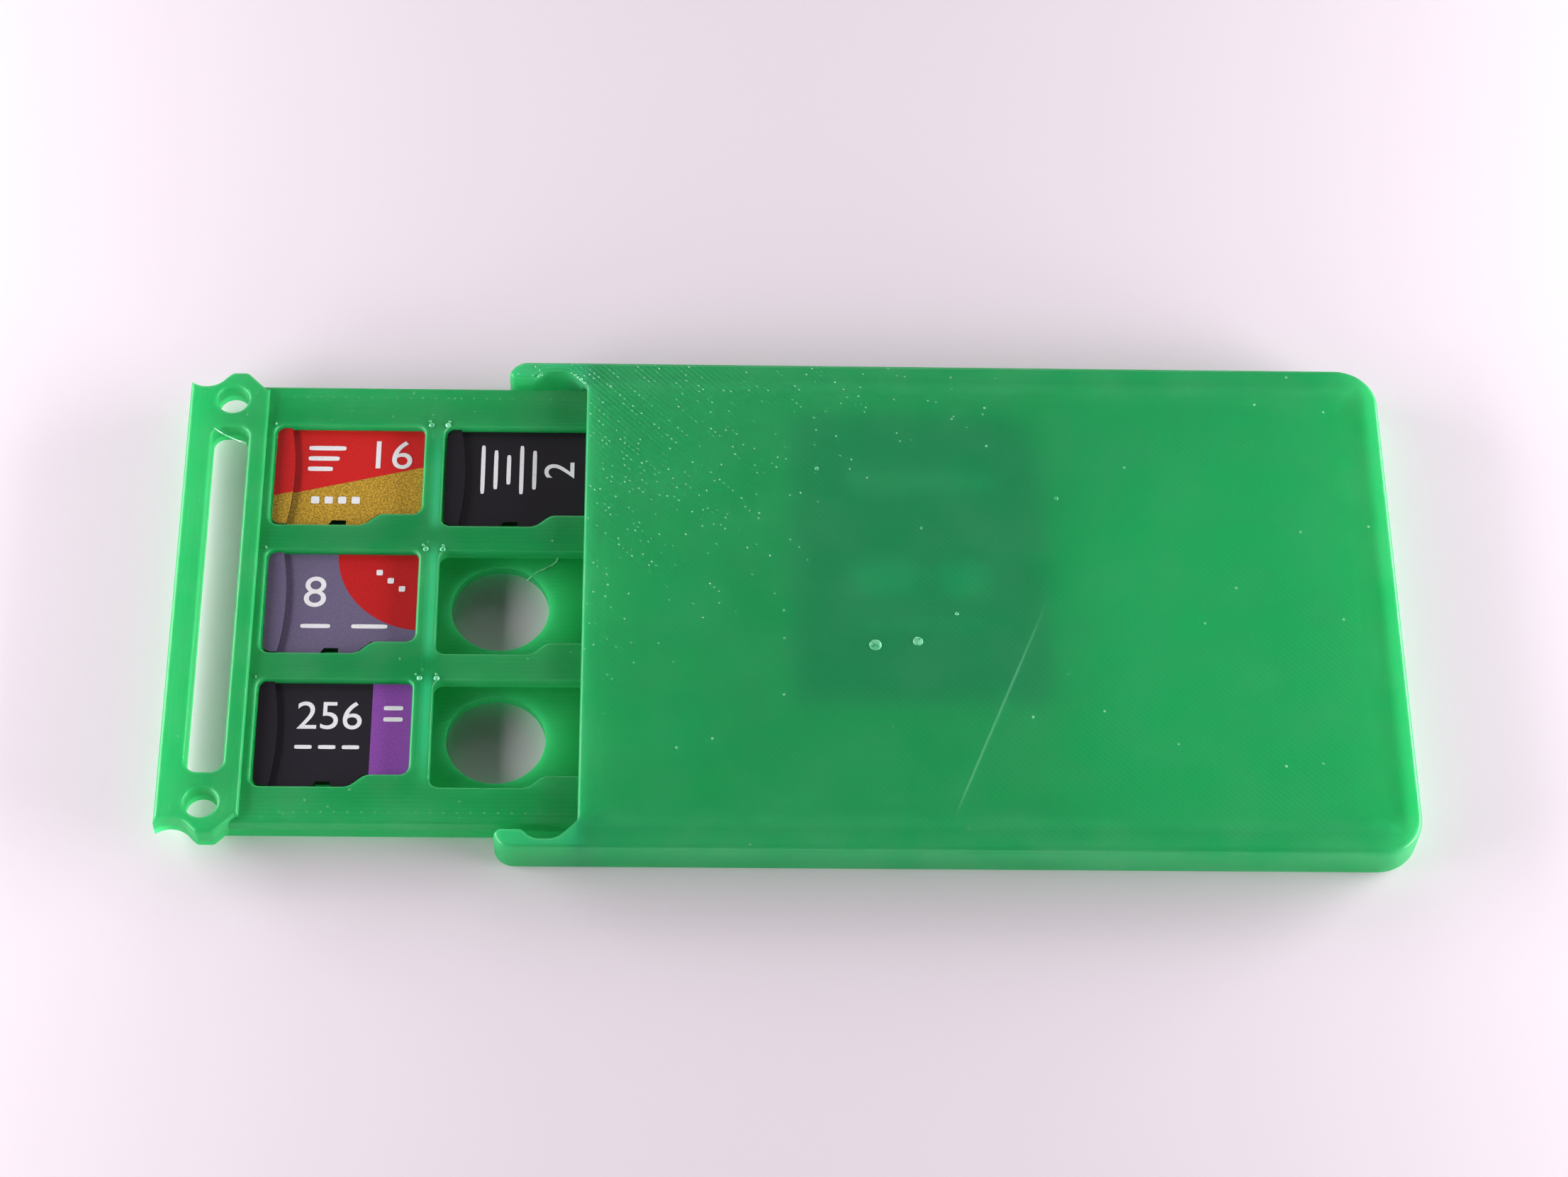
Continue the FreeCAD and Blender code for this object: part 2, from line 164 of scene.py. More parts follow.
def thin_roof(finish, x, y, z):
    """1 over the cavity, 0 over the solid walls around it and at the mouth: the least of three ramps."""
    side, end, mouth = sleeve_high[1] - WALL_MM, sleeve_high[0] - WALL_MM, sleeve_low[0]
    aside = add(finish, "Math", (y,), operation="ABSOLUTE")[0]
    thin = add(finish, "MapRange", (aside, side, side - WALL_FADE_MM))[0]
    for thick_at, thin_at in ((end, end - WALL_FADE_MM), (mouth, mouth + WALL_FADE_MM)):
        lengthwise = add(finish, "MapRange", (x, thick_at, thin_at))[0]
        thin = add(finish, "Math", (thin, lengthwise), operation="MINIMUM")[0]
    return thin


def thin_floor(finish, x, y, z):
    """1 at the pocket floors, and 0 on what stands above them."""
    return add(finish, "MapRange", (z, POCKET_FLOOR_MM + POCKET_FADE_MM, POCKET_FLOOR_MM))[0]


print("thin roof", (sleeve_high - sleeve_low)[:2].round(1) - 2 * WALL_MM, "mm")

# %% [markdown]
# ## Where light gathers
# Cloudy plastic pipes light along, and it comes out where a piece ends or is narrow: at the roof's edge
# over the mouth and on the narrow rib behind the first cards. Tracing that through a cloud of scattering
# would take long and be noisy, so these two places get a lighter green, which fades off smoothly like the
# light itself.

# %% Edges that catch light
card_a_low, card_a_high = box_mm("card_a_body")
RIB_MIDDLE_MM = (card_a_high[0] + box_mm("card_d_body")[0][0]) / 2
RIB_HALF_MM = 1.0
ROW_MIDDLE_MM = np.mean(box_mm("card_b_body"), 0)[1]
ROW_PITCH_MM = np.mean(box_mm("card_a_body"), 0)[1] - ROW_MIDDLE_MM
ROW_LIT_MM = 4.5
EDGE_MM, MOUTH_LIGHT = 1.0, 0.5


def mouth_light(finish, x, y):
    """Light caught by the roof's edge at the mouth, gone after a millimetre."""
    return add(finish, "MapRange", (x, sleeve_low[0] + EDGE_MM, sleeve_low[0], 0.0, MOUTH_LIGHT))[0]


def rib_light(finish, x, y):
    """Light caught by the narrow rib: 1 along its middle, and less towards its sides and where it crosses
    the other ribs. The rows repeat, so a zigzag of y gives the way from the middle of a row."""
    from_rib = add(finish, "Math", (x, RIB_MIDDLE_MM), operation="SUBTRACT")[0]
    beside = add(finish, "Math", (from_rib,), operation="ABSOLUTE")[0]
    along = add(finish, "Math", (y, ROW_MIDDLE_MM), operation="SUBTRACT")[0]
    aside = add(finish, "Math", (along,), operation="ABSOLUTE")[0]
    from_row = add(finish, "Math", (along, ROW_PITCH_MM / 2), operation="PINGPONG")[0]
    light = add(finish, "MapRange", (beside, RIB_HALF_MM, 0.0), interpolation_type="SMOOTHSTEP")[0]
    fades = ((from_row, ROW_PITCH_MM / 2, ROW_LIT_MM), (aside, 1.5 * ROW_PITCH_MM, ROW_PITCH_MM))
    for way, dark_at, light_at in fades:
        fade = add(finish, "MapRange", (way, dark_at, light_at), interpolation_type="SMOOTHSTEP")[0]
        light = add(finish, "Math", (light, fade), operation="MULTIPLY")[0]
    return light


print("rows of pockets", round(float(ROW_PITCH_MM), 2), "mm apart")

# %% [markdown]
# ## Beads
# On the roof the beads lie side by side at 45 degrees and leave fine ridges. On the tray they follow the
# edges: along the end bar and the rib behind the first cards, and along the rails and the other ribs.
# Real layers on upright walls are 0.2 mm high, too fine for the picture, so they are drawn a little
# coarser.

# %% Beads
BEAD_MM = 0.45
LAYER_SHOWN_MM = 0.3
BEAD_DIAGONAL_MM = BEAD_MM * math.sqrt(2)
BAR_END_MM = card_a_low[0] - 1.0


def diagonal_beads(finish, x, y):
    """Beads from rear left to front right, counted across: x plus y, over root two and a bead's width."""
    diagonal = add(finish, "Math", (x, y), operation="ADD")[0]
    return add(finish, "Math", (diagonal, BEAD_DIAGONAL_MM), operation="DIVIDE")[0]


def framing_beads(finish, x, y):
    """Beads along the edges, counted across: x on the end bar and the rib, else y, over a bead's width."""
    on_bar = add(finish, "Math", (x, BAR_END_MM), operation="LESS_THAN")[0]
    on_rib = add(finish, "Math", (x, RIB_MIDDLE_MM, RIB_HALF_MM), operation="COMPARE")[0]
    between_rails = add(finish, "Math", (y, 0.0, card_a_high[1]), operation="COMPARE")[0]
    rib = add(finish, "Math", (on_rib, between_rails), operation="MULTIPLY")[0]
    lengthwise = add(finish, "Math", (on_bar, rib), operation="MAXIMUM")[0]
    across = add(finish, "Mix", {0: lengthwise, 2: y, 3: x})[0]
    return add(finish, "Math", (across, BEAD_MM), operation="DIVIDE")[0]


print("beads across the roof", round(float((sleeve_high - sleeve_low)[:2].sum() / BEAD_DIAGONAL_MM)))

# %% [markdown]
# ## Marks and painted glints on the print
# Where two beads meet, the roof shows strings of tiny glints and faint light seam lines, strongest towards
# the rear left corner and fading towards the front right; both are painted highlights in a pale green. A few
# larger specks, one long scratch, and ticks where the nozzle paused on the rails complete the surface.
# Strings of dots could be placed one by one. A grid that counts beads across and glints along them gives
# thousands from one pattern: a cell holds a dot only if its random lot is low enough.

# %% Marks and painted glints
# Glints and the light seam lines are painted highlights, strongest at the rear left corner
GLINT_MM, GLINT_RADIUS, GLINT_PALE = 0.6, 0.22, 0.8
GLINTS_FULL_MM, GLINTS_GONE_MM = 6.0, 46.0
BARE_LINES = 0.3
SEAM_REACH, SEAM_PALE = 0.25, 0.14
SCRATCH_AT_MM, SCRATCH_BEND_MM, SCRATCH_LEAN = 4.9, -1.0, 0.41
SCRATCH_REACH_MM, SCRATCH_PALE = 0.22, 0.28
SCRATCH_ENDS_MM = ((-24.8, -20.0), (2.4, -8.0))
SPECK_SCATTER = 0.8
RAIL_LINE_MM, RAIL_LINE_HALF_MM = 23.0, 0.1
TICK_PITCH_MM, TICK_REACH_MM, TICK_FULL_MM, TICK_PALE = 1.25, 0.16, 0.06, 0.18


def dots(finish, across, along, radius, chance, scatter):
    """Round dots, at most one to a cell of the two counts: full within half the radius of the cell's point,
    and fainter the nearer the cell's lot comes to chance. Scatter moves the points off the grid."""
    point = add(finish, "CombineXYZ", (across, along))[0]
    grid = {"Vector": point, "Scale": 1.0, "Randomness": scatter}
    cells = add(finish, "TexVoronoi", grid, voronoi_dimensions="2D")
    lot = add(finish, "SeparateXYZ", (cells["Color"],))[0]
    disc = add(finish, "MapRange", (cells["Distance"], radius, radius / 2))[0]
    strength = add(finish, "MapRange", (lot, chance, 0.0))[0]
    return add(finish, "Math", (disc, strength), operation="MULTIPLY")[0]


def painted_bead_glints(finish, x, y):
    """Painted highlights where beads meet: dots, each line with its own shift and density, and faint lines.
    """
    across = diagonal_beads(finish, x, y)
    away = add(finish, "Math", (x, y), operation="SUBTRACT")[0]
    corner = sleeve_low[0] - sleeve_high[1]
    near = add(finish, "MapRange", (away, corner + GLINTS_GONE_MM, corner + GLINTS_FULL_MM))[0]
    line = add(finish, "Math", (across,), operation="ROUND")[0]
    shift, lot = add(finish, "TexWhiteNoise", {"W": line}, noise_dimensions="1D")
    along = add(finish, "Math", (away, 1 / (GLINT_MM * math.sqrt(2)), shift), operation="MULTIPLY_ADD")[0]
    dense = add(finish, "MapRange", (add(finish, "SeparateXYZ", (lot,))[1], BARE_LINES, 1.0))[0]
    chance = add(finish, "Math", (near, dense), operation="MULTIPLY")[0]
    glints = dots(finish, across, along, GLINT_RADIUS, chance, 0.0)
    faint = add(finish, "Math", (glints, GLINT_PALE), operation="MULTIPLY")[0]
    from_line = add(finish, "Math", (across, 0.5), operation="PINGPONG")[0]
    seam = add(finish, "MapRange", (from_line, SEAM_REACH, 0.0, 0.0, SEAM_PALE))[0]
    seams = add(finish, "Math", (seam, near), operation="MULTIPLY")[0]
    return add(finish, "Math", (faint, seams), operation="MAXIMUM")[0]


def scratch(finish, x, y):
    """A line along y that leans in front of its bend: palest in its middle and faded at both ends."""
    ahead = add(finish, "Math", (y, SCRATCH_BEND_MM), operation="SUBTRACT")[0]
    lean = add(finish, "Math", (ahead, 0.0), operation="MINIMUM")[0]
    line = add(finish, "Math", (lean, SCRATCH_LEAN, SCRATCH_AT_MM), operation="MULTIPLY_ADD")[0]
    beside = add(finish, "Math", (x, line), operation="SUBTRACT")[0]
    gap = add(finish, "Math", (beside,), operation="ABSOLUTE")[0]
    mark = add(finish, "MapRange", (gap, SCRATCH_REACH_MM, 0.0, 0.0, SCRATCH_PALE))[0]
    for gone_at, full_at in SCRATCH_ENDS_MM:
        fade = add(finish, "MapRange", (y, gone_at, full_at))[0]
        mark = add(finish, "Math", (mark, fade), operation="MULTIPLY")[0]
    return mark


def specks(finish, x, y, per_mm, radius, chance, strength):
    """Single dots strewn over the surface."""
    rows = [add(finish, "Math", (value, per_mm), operation="MULTIPLY")[0] for value in (x, y)]
    strewn = dots(finish, *rows, radius, chance, SPECK_SCATTER)
    return add(finish, "Math", (strewn, strength), operation="MULTIPLY")[0]


def roof_marks_and_glints(finish, x, y):
    """The strongest of the painted glints, the specks and the scratch."""
    strewn = specks(finish, x, y, per_mm=0.3, radius=0.05, chance=0.12, strength=0.7)
    lines = add(finish, "Math", (painted_bead_glints(finish, x, y), scratch(finish, x, y)), operation="MAXIMUM")[0]
    return add(finish, "Math", (lines, strewn), operation="MAXIMUM")[0]


def rail_marks(finish, x, y):
    """A row of faint ticks along each rail, and a few specks."""
    aside = add(finish, "Math", (y,), operation="ABSOLUTE")[0]
    on_line = add(finish, "Math", (aside, RAIL_LINE_MM, RAIL_LINE_HALF_MM), operation="COMPARE")[0]
    beat = add(finish, "Math", (x, TICK_PITCH_MM / 2), operation="PINGPONG")[0]
    tick = add(finish, "MapRange", (beat, TICK_REACH_MM, TICK_FULL_MM, 0.0, TICK_PALE))[0]
    ticks = add(finish, "Math", (tick, on_line), operation="MULTIPLY")[0]
    strewn = specks(finish, x, y, per_mm=0.5, radius=0.08, chance=0.3, strength=0.3)
    return add(finish, "Math", (ticks, strewn), operation="MAXIMUM")[0]


line_mm = (sleeve_high - sleeve_low)[1] * math.sqrt(2)
print("glints on one bead line", round(float(line_mm / GLINT_MM)), "at most")

# %% [markdown]
# ## One shader for both prints
# The plastic is a satin green body with a clear share. Ridges are bump, because they are far finer than
# an edge of the mesh. Each ridge is the size of a sine, so a bead is round on top and meets the next in a
# sharp valley.

# %% The printed plastic
# The pale green serves the marks and the painted glints
PALE_MARK_AND_GLINT_GREEN, THICK_GLOW, CAUGHT_LIGHT = "#D2FBE4", "#74EAAE", "#3FD995"
THIN_SHARE, THICK_SHARE = 0.75, 0.5
TOP_FROM, TOP_FULL = 0.85, 0.98
DRIFT_PER_MM, DRIFT_FROM, DRIFT_FULL, DRIFT_PALE = 0.2, 0.35, 0.7, 0.07


def printed_plastic(name, thick_hex, thin_hex, glow_hex, ridge_mm, thinness, bead_count, pale_marks_and_glints, caught):
    """Cloudy printed plastic, ridged on its tops and layered on its walls. By place, thinness gives 1 where a
    wall is thin, bead_count grows by 1 with each bead, pale_marks_and_glints gives up to 1 where the print
    has a pale mark and where a glint is painted, and caught up to 1 where light gathers."""
    finish, place = start_finish(name)
    x, y, z = add(finish, "SeparateXYZ", (place,))
    upward = add(finish, "SeparateXYZ", (add(finish, "NewGeometry")["Normal"],))[2]
    top = add(finish, "MapRange", (upward, TOP_FROM, TOP_FULL))[0]

    # Ridges on walls and on tops
    ridges = []
    layer_count = add(finish, "Math", (z, LAYER_SHOWN_MM), operation="DIVIDE")[0]
    for count in (layer_count, bead_count(finish, x, y)):
        phase = add(finish, "Math", (count, math.pi), operation="MULTIPLY")[0]
        wave = add(finish, "Math", (phase,), operation="SINE")[0]
        ridges.append(add(finish, "Math", (wave,), operation="ABSOLUTE")[0])
    height = add(finish, "Mix", {0: top, 2: ridges[0], 3: ridges[1]})[0]
    bump = add(finish, "Bump", {"Strength": 0.5, "Distance": ridge_mm * MM, "Height": height})[0]

    # Colour: painted light where thin and where light gathers, a slow drift, and marks and glints on top
    thin = thinness(finish, x, y, z)
    plain = add(finish, "Mix", {0: thin, 6: linear(thick_hex), 7: linear(thin_hex)}, data_type="RGBA")[2]
    gathered = add(finish, "Math", (caught(finish, x, y), top), operation="MULTIPLY")[0]
    body = add(finish, "Mix", {0: gathered, 6: plain, 7: linear(CAUGHT_LIGHT)}, data_type="RGBA")[2]
    drift = add(finish, "TexNoise", {"Vector": place, "Scale": DRIFT_PER_MM, "Detail": 3.0})[0]
    shade = add(finish, "MapRange", (drift, DRIFT_FROM, DRIFT_FULL, 0.0, DRIFT_PALE))[0]
    # On tops: pale marks, and on the roof painted glints as well
    spots = add(finish, "Math", (pale_marks_and_glints(finish, x, y), top), operation="MULTIPLY")[0]
    paleness = add(finish, "Math", (shade, spots), operation="MAXIMUM")[0]
    green = add(finish, "Mix", {0: paleness, 6: body, 7: linear(PALE_MARK_AND_GLINT_GREEN)}, data_type="RGBA")[2]
    satin = {"Base Color": green, "Normal": bump, "Roughness": 0.27, "IOR": 1.46, "Specular IOR Level": 0.45}
    surface = add(finish, "BsdfPrincipled", satin)[0]

    # Light from the other side: most through thin walls, and none through marks and painted glints
    tint = add(finish, "Mix", {0: thin, 6: linear(THICK_GLOW), 7: linear(glow_hex)}, data_type="RGBA")[2]
    glow = add(finish, "BsdfTranslucent", {"Color": tint, "Normal": bump})[0]
    clear = add(finish, "MapRange", (thin, 0.0, 1.0, THICK_SHARE, THIN_SHARE))[0]
    clear_of_marks_and_glints = add(finish, "Math", (1.0, spots), operation="SUBTRACT")[0]
    share = add(finish, "Math", (clear, clear_of_marks_and_glints), operation="MULTIPLY")[0]
    cloudy = add(finish, "MixShader", (share, surface, glow))[0]
    add(finish, "OutputMaterial", (cloudy,))
    return finish


# Each finish's thin green is lighter than its thick one: painted light through thin plastic, beside the real
# clear share
sleeve_plastic = printed_plastic("printed_sleeve_plastic", "#2BA264", "#45C684", "#A0FCE0", 0.012,
                                 thin_roof, diagonal_beads, roof_marks_and_glints, mouth_light)
tray_plastic = printed_plastic("printed_tray_plastic", "#279E5C", "#2BAA66", "#8EF5BF", 0.022,
                               thin_floor, framing_beads, rail_marks, rib_light)
wear(sleeve_plastic, "sleeve", "latch_arm_rear", "latch_arm_front")
wear(tray_plastic, "tray")

# %% [markdown]
# ## Latch arms
# Each arm is one print with the sleeve and springs open when a lug of the tray passes. A rigid arm that
# swings about its root would open a crack there. Each arm here is a copy of the measured solid, merged, and
# cut into slices over its first few millimetres.

# %% Latch arms cut into slices
BEND_MM = 3.0
SLICES = 8
MERGE_MM = 0.0001


def new_piece(name, mesh, finish):
    """Links a mesh as a piece at the origin with one finish."""
    mesh.materials.clear()
    mesh.materials.append(finish)
    piece = bpy.data.objects.new(name, mesh)
    scene.collection.objects.link(piece)
    return piece


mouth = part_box("sleeve")[0][0]
for side in ("rear", "front"):
    arm_node = "latch_arm_" + side
    work = bmesh.new()
    work.from_mesh(nodes[arm_node].data)
    bmesh.ops.remove_doubles(work, verts=work.verts, dist=MERGE_MM * MM)
    for cut in np.linspace(0, BEND_MM * MM, SLICES + 2)[1:]:
        whole = work.verts[:] + work.edges[:] + work.faces[:]
        bmesh.ops.bisect_plane(work, geom=whole, plane_co=(mouth - cut, 0, 0), plane_no=(1, 0, 0))
    arm_mesh = bpy.data.meshes.new("springy_arm_" + side)
    work.to_mesh(arm_mesh)
    work.free()
    arm = new_piece("springy_arm_" + side, arm_mesh, sleeve_plastic)
    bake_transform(arm)
    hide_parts(arm_node)
    print(arm.name, len(arm_mesh.polygons), "faces")

# %% [markdown]
# ## Cards
# A small card is a black moulded chip of plastic, printed on its top only. The print is ink on a flat
# face, so it is a colour by place: two fields divided by a line, an arc or a band, with the bare black
# moulding on the sides.

# %% Card faces
CARD_BLACK, INK_WHITE = "#17141A", "#E9E6EA"
FACE_FROM, FACE_FULL = 0.8, 0.95
INK_GRAIN = 0.1
FLAKE_MM, FLAKE_DEPTH_MM = 0.17, 0.01
CLUMP_FROM, CLUMP_TO = 0.35, 0.65
LINE_RISE, LINE_START_MM = 0.25, 3.2
FAR_CORNER_MM, DISC_MM = (15.0, 11.0, 0.0), 8.4
BAND_START_MM = 10.6


def card_face(name, body, first_hex, second_hex=CARD_BLACK, divide=None, flake=INK_GRAIN):
    """Satin ink on a moulded card: divide gives 1 on the second field, whose tone varies by flake."""
    finish, place = start_finish(name)
    local = add(finish, "VectorMath", (place, tuple(box_mm(body)[0])), operation="SUBTRACT")[0]
    u, v, z = add(finish, "SeparateXYZ", (local,))
    upward = add(finish, "SeparateXYZ", (add(finish, "NewGeometry")["Normal"],))[2]
    face = add(finish, "MapRange", (upward, FACE_FROM, FACE_FULL))[0]
    grain = add(finish, "TexNoise", {"Vector": local, "Scale": 1 / FLAKE_MM, "Detail": 1.0})[0]
    inks = []
    for hex_code, reach in ((first_hex, INK_GRAIN), (second_hex, flake)):
        tone = add(finish, "MapRange", (grain, CLUMP_FROM, CLUMP_TO, 1 - reach, 1 + reach))[0]
        inks.append(add(finish, "VectorMath", {0: linear(hex_code)[:3], "Scale": tone}, operation="SCALE")[0])
    share = divide(finish, u, v) if divide else 0.0
    ink = add(finish, "Mix", {0: share, 6: inks[0], 7: inks[1]}, data_type="RGBA")[2]
    colour = add(finish, "Mix", {0: face, 6: linear(CARD_BLACK), 7: ink}, data_type="RGBA")[2]
    bump = add(finish, "Bump", {"Strength": 0.3, "Distance": FLAKE_DEPTH_MM * MM, "Height": grain})[0]
    satin = {"Base Color": colour, "Normal": bump, "Roughness": 0.36, "IOR": 1.55, "Specular IOR Level": 0.4}
    add(finish, "OutputMaterial", add(finish, "BsdfPrincipled", satin)[:1])
    wear(finish, body)


def slanted_line(finish, u, v):
    """1 in front of a line that rises by a quarter along the card from its grip end."""
    line = add(finish, "Math", (u, LINE_RISE, LINE_START_MM), operation="MULTIPLY_ADD")[0]
    return add(finish, "Math", (v, line), operation="LESS_THAN")[0]


def corner_disc(finish, u, v):
    """1 near the far corner: where the step from that corner is shorter than the disc's radius."""
    point = add(finish, "CombineXYZ", (u, v))[0]
    away = add(finish, "VectorMath", (point, FAR_CORNER_MM), operation="DISTANCE")["Value"]
    return add(finish, "Math", (away, DISC_MM), operation="LESS_THAN")[0]


def end_band(finish, u, v):
    """1 in a band at the contact end."""
    return add(finish, "Math", (u, BAND_START_MM), operation="GREATER_THAN")[0]


card_face("red_and_gold_ink", "card_a_body", "#CC1F1E", "#B8902F", slanted_line, flake=0.4)
card_face("slate_and_red_ink", "card_b_body", "#6B607E", "#BD1B1D", corner_disc)
card_face("black_and_purple_ink", "card_c_body", "#252029", "#8A4BA6", end_band)
card_face("black_ink", "card_d_body", "#1C181F")

# %% [markdown]
# ## Figures and bars
# Light ink stands two hundredths of a millimetre proud. Figures come from the built-in font, which knows
# how to fill an outline. They are turned into a mesh and then set in place. Bars are plates with round
# corners: a superellipse, whose one formula gives a rectangle with softened corners, carried up by the
# ink's thickness.

# %% Figures and bars
INK_MM = 0.02
CORNER_POWER = 6.0
RING = 32
WORN_INK = "#6A6470"
PINHOLES_PER_MM, PINHOLE_FROM, PINHOLE_FULL, PINHOLE_WEAR = 5.0, 0.6, 0.75, 0.35


def bar_plates(bars):
    """Plates from (x, y, width, depth, z): a ring at half sizes times the 2/n powers of cosine and sine."""
    bars = np.array(bars, float)
    angle = np.linspace(0, 2 * np.pi, RING, endpoint=False) + np.pi / RING
    circle = np.stack([np.cos(angle), np.sin(angle)], 1)
    ring = np.sign(circle) * np.abs(circle) ** (2 / CORNER_POWER)
    outline = bars[:, None, :2] + ring * bars[:, None, 2:4] / 2
    points = np.zeros((len(bars), 2, RING, 3))
    points[..., :2] = outline[:, None]
    points[..., 2] = bars[:, 4, None, None] + np.array([-INK_MM, INK_MM])[None, :, None]
    first = np.arange(len(bars))[:, None] * 2 * RING
    step, after = np.arange(RING), (np.arange(RING) + 1) % RING
    quads = np.stack([first + step, first + after, first + RING + after, first + RING + step], -1)
    caps = np.concatenate([first + step[::-1], first + RING + step])
    return points.reshape(-1, 3), quads.reshape(-1, 4).tolist() + caps.tolist()


def figure_plate(digits, size, place, turn):
    """The font's filled outline, thickened, turned about z and moved: points in millimetres, and faces."""
    drawing = bpy.data.curves.new("figures", "FONT")
    drawing.body, drawing.size, drawing.extrude = digits, size, INK_MM
    drawing.align_x, drawing.align_y = "CENTER", "CENTER"
    sketch = bpy.data.objects.new("figures", drawing)
    scene.collection.objects.link(sketch)
    mesh = bpy.data.meshes.new_from_object(sketch.evaluated_get(bpy.context.evaluated_depsgraph_get()))
    points = np.zeros(len(mesh.vertices) * 3)
    mesh.vertices.foreach_get("co", points)
    faces = [list(face.vertices) for face in mesh.polygons]
    bpy.data.objects.remove(sketch)
    c, s = math.cos(turn), math.sin(turn)
    return points.reshape(-1, 3) @ np.array([(c, s, 0), (-s, c, 0), (0, 0, 1)]) + place, faces


def light_ink(name, hex_code):
    """Screen-printed ink: matt, with faint pinholes where the mesh of the screen left less of it."""
    finish, place = start_finish(name)
    holes = add(finish, "TexNoise", {"Vector": place, "Scale": PINHOLES_PER_MM, "Detail": 2.0})[0]
    thin = add(finish, "MapRange", (holes, PINHOLE_FROM, PINHOLE_FULL, 0.0, PINHOLE_WEAR))[0]
    ink = add(finish, "Mix", {0: thin, 6: linear(hex_code), 7: linear(WORN_INK)}, data_type="RGBA")[2]
    add(finish, "OutputMaterial", add(finish, "BsdfPrincipled", {"Base Color": ink, "Roughness": 0.55})[:1])
    return finish


white_ink = light_ink("white_screen_ink", INK_WHITE)


def print_on(body, top_mm, figures, bars, ride_on, ink=white_ink):
    """Joins figures, as (digits, size, u, v, turn), and bars, as (u, v, width, depth) from the body's corner,
    into one piece of ink that rides with the body."""
    low = box_mm(body)[0]
    digits, size, u, v, turn = figures
    plates = [bar_plates([(low[0] + a, low[1] + b, w, d, top_mm) for a, b, w, d in bars])]
    if digits:
        plates.append(figure_plate(digits, size, (low[0] + u, low[1] + v, top_mm), turn))
    starts = np.cumsum([0] + [len(points) for points, faces in plates])
    faces = [[index + start for index in face] for (_, made), start in zip(plates, starts) for face in made]
    mesh = bpy.data.meshes.new(ride_on + "_ink_" + body)
    mesh.from_pydata((np.concatenate([points for points, made in plates]) * MM).tolist(), [], faces)
    piece = new_piece(body.replace("_body", "") + "_light_ink", mesh, ink)
    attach(piece, ride_on)
    print(piece.name, len(faces), "faces")


CARD_TOP_MM = 2.6
QUARTER_TURN = math.pi / 2
print_on("card_a_body", CARD_TOP_MM, ("16", 4.6, 11.0, 8.0, 0.0),
         [(4.9, 8.9, 3.6, 0.5), (4.6, 7.7, 3.0, 0.5), (4.3, 6.5, 2.4, 0.5)]
         + [(4.0 + 1.3 * i, 2.9, 0.8, 0.8) for i in range(4)], "card_a")
print_on("card_b_body", CARD_TOP_MM, ("8", 4.8, 4.6, 6.6, 0.0),
         [(4.8, 3.0, 2.8, 0.45), (9.9, 3.0, 3.4, 0.45)]
         + [(10.6 + 1.1 * i, 9.0 - 0.9 * i, 0.6, 0.6) for i in range(3)], "card_b")
print_on("card_c_body", CARD_TOP_MM, ("256", 4.2, 6.7, 7.4, 0.0),
         [(4.4, 4.2, 1.6, 0.4), (6.6, 4.2, 1.6, 0.4), (8.8, 4.2, 1.6, 0.4), (12.6, 8.4, 1.8, 0.45),
          (12.6, 7.2, 1.8, 0.45)], "card_c")
print_on("card_d_body", CARD_TOP_MM, ("2", 4.2, 11.2, 6.6, QUARTER_TURN),
         [(3.6 + 1.25 * i, 6.6, 0.4, 5.6 - 1.1 * (i % 3)) for i in range(5)], "card_d")

# %% [markdown]
# ## Gold pads, black adapter, grey slider
# The pads are copper with a flash of gold. The adapter is a moulded black shell with a fine spark-eroded
# texture, and its lock slider is moulded in pale grey. Flat colours would do from afar. Close by, contacts
# show rub marks and mouldings show grit, so each gets a fine pattern of its own.

# %% Metal and moulded plastic
GRIT_MM, GRIT_DEPTH_MM, GRIT_TONE = 0.25, 0.02, 0.8
RUB_PER_MM = (0.6, 10.0, 1.0)
GOLD_DULL, GOLD_BRIGHT = "#C79A3C", "#EBC766"


def moulded(name, hex_code):
    """Moulded plastic with an even grit: noise with cells of the grit's width, and a slight drift in tone."""
    finish, place = start_finish(name)
    grit = add(finish, "TexNoise", {"Vector": place, "Scale": 1 / GRIT_MM, "Detail": 2.0})[0]
    bump = add(finish, "Bump", {"Strength": 0.5, "Distance": GRIT_DEPTH_MM * MM, "Height": grit})[0]
    darker = tuple(GRIT_TONE * c for c in linear(hex_code)[:3]) + (1.0,)
    colour = add(finish, "Mix", {0: grit, 6: darker, 7: linear(hex_code)}, data_type="RGBA")[2]
    satin = {"Base Color": colour, "Normal": bump, "Roughness": 0.48, "IOR": 1.53}
    add(finish, "OutputMaterial", add(finish, "BsdfPrincipled", satin)[:1])
    return finish


def gold_plate(name):
    """Gold flash on copper: metal with faint rub marks along x, 0.1 mm apart."""
    finish, place = start_finish(name)
    stretch = add(finish, "VectorMath", (place, RUB_PER_MM), operation="MULTIPLY")[0]
    rub = add(finish, "TexNoise", {"Vector": stretch, "Scale": 1.0, "Detail": 2.0})[0]
    colour = add(finish, "Mix", {0: rub, 6: linear(GOLD_DULL), 7: linear(GOLD_BRIGHT)}, data_type="RGBA")[2]
    metal = {"Base Color": colour, "Metallic": 1.0, "Roughness": 0.28}
    add(finish, "OutputMaterial", add(finish, "BsdfPrincipled", metal)[:1])
    return finish


wear(gold_plate("gold_flash"), "adapter_terminals", *(f"card_{letter}_contacts" for letter in "abcd"))
wear(moulded("black_moulded_shell", "#151316"), "adapter_lower_shell", "adapter_upper_shell")
wear(moulded("grey_moulded_slider", "#B5B4B8"), "adapter_lock_slider")

